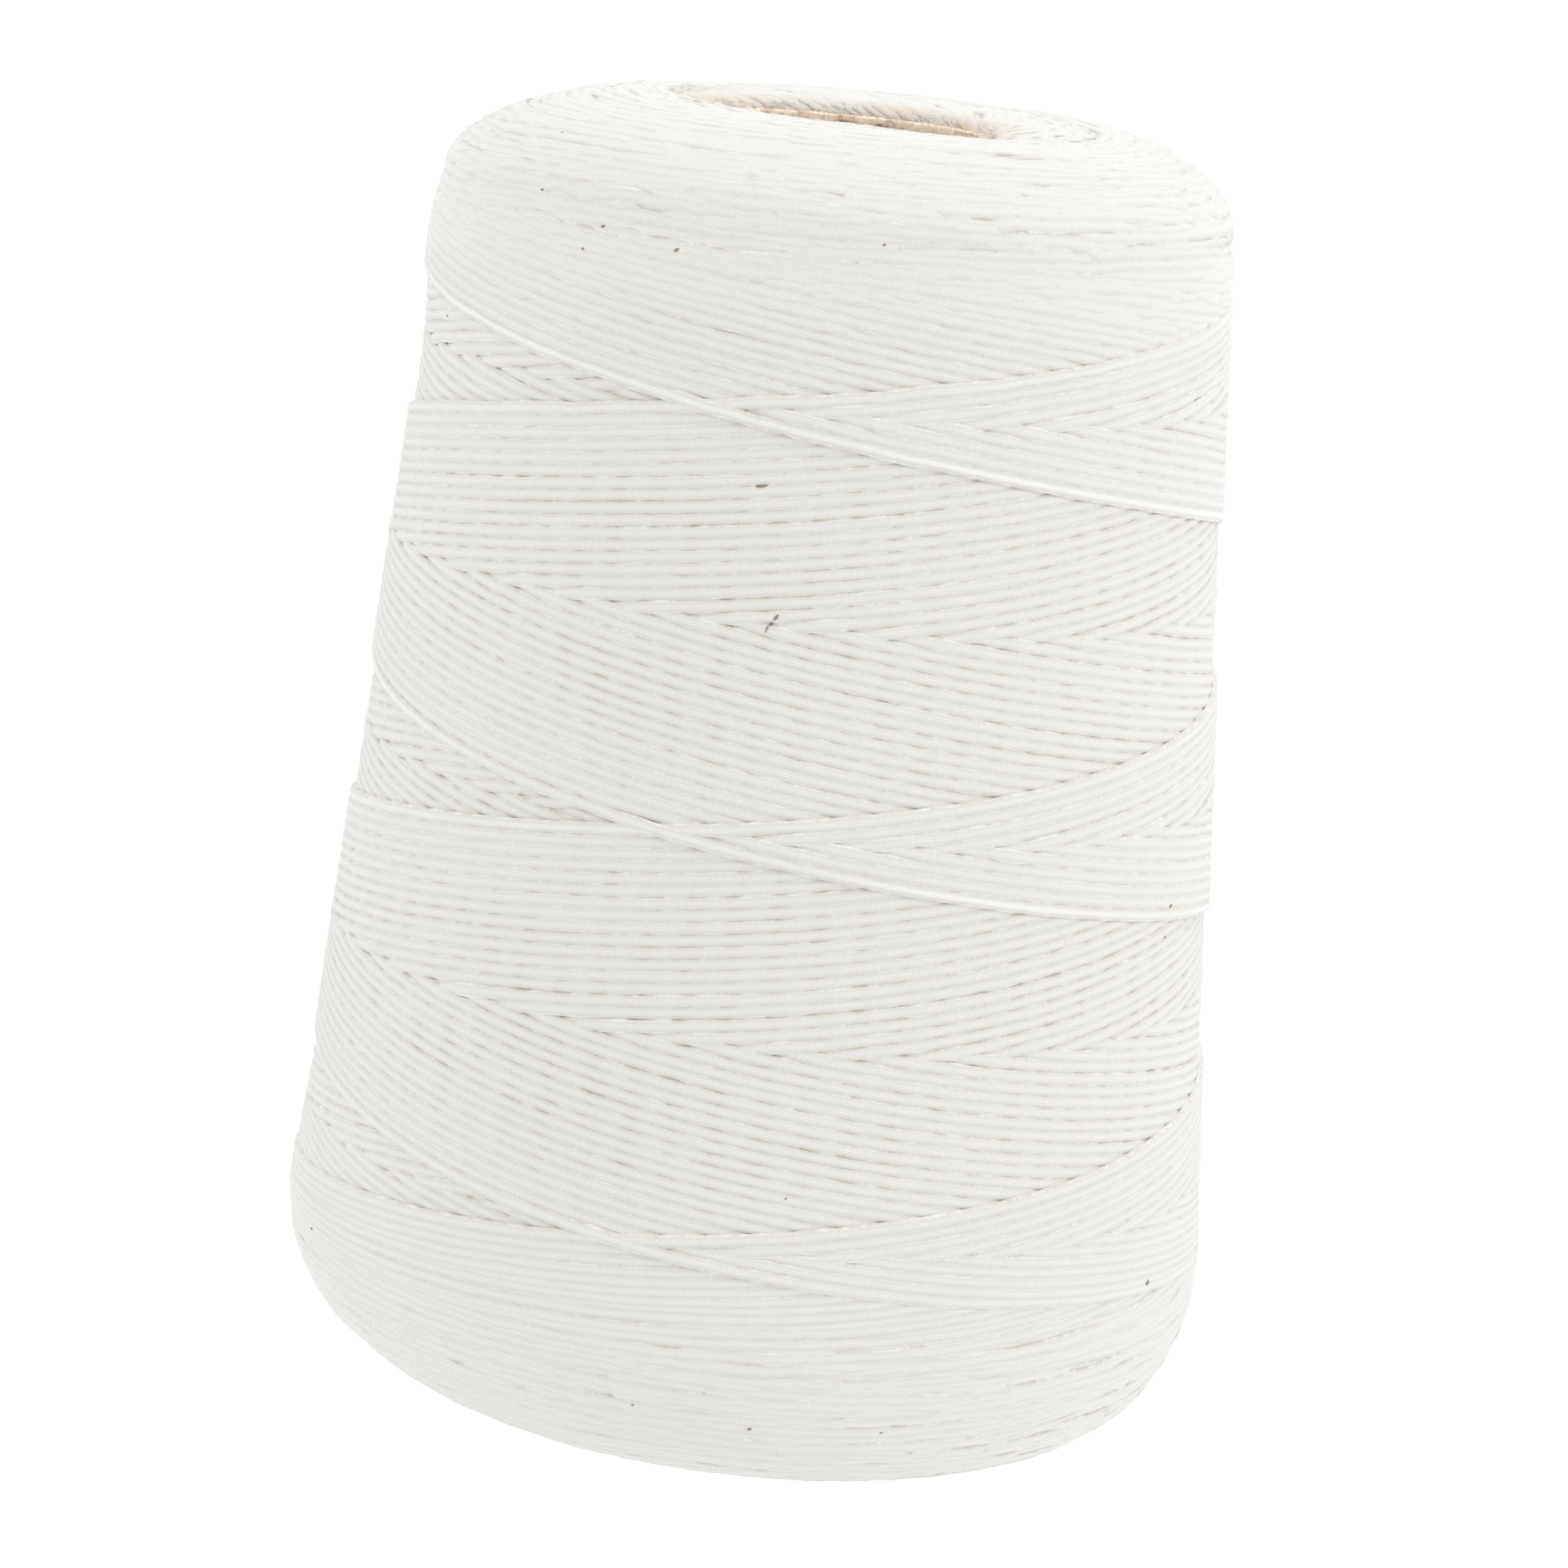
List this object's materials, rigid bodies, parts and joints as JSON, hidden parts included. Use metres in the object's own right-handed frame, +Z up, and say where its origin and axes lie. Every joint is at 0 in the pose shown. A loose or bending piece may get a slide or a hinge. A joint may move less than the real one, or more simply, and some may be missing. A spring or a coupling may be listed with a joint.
{
  "type": "roll of cooking twine",
  "caption": "White cotton cooking twine cross-wound into a tapered cone with rounded ends, standing on its wide end, on an open paperboard core.",
  "frame": {"origin": "on the winding's axis, at the surface that the wide end stands on", "axes": "+Z up along the winding's axis to the narrow end and its open mouth; the newest rising and falling passes of twine cross on the -Y side"},
  "size_m": [0.1409, 0.1402, 0.195],
  "materials": {
    "cotton_twine": "matt, soft-spun and plied cotton twine, off-white, with a few dark seed specks",
    "paperboard": "matt tan paperboard, spirally wound"
  },
  "bodies": {
    "root": {"twine_winding": "cotton_twine", "paper_core": "paperboard"}
  },
  "joints": []
}
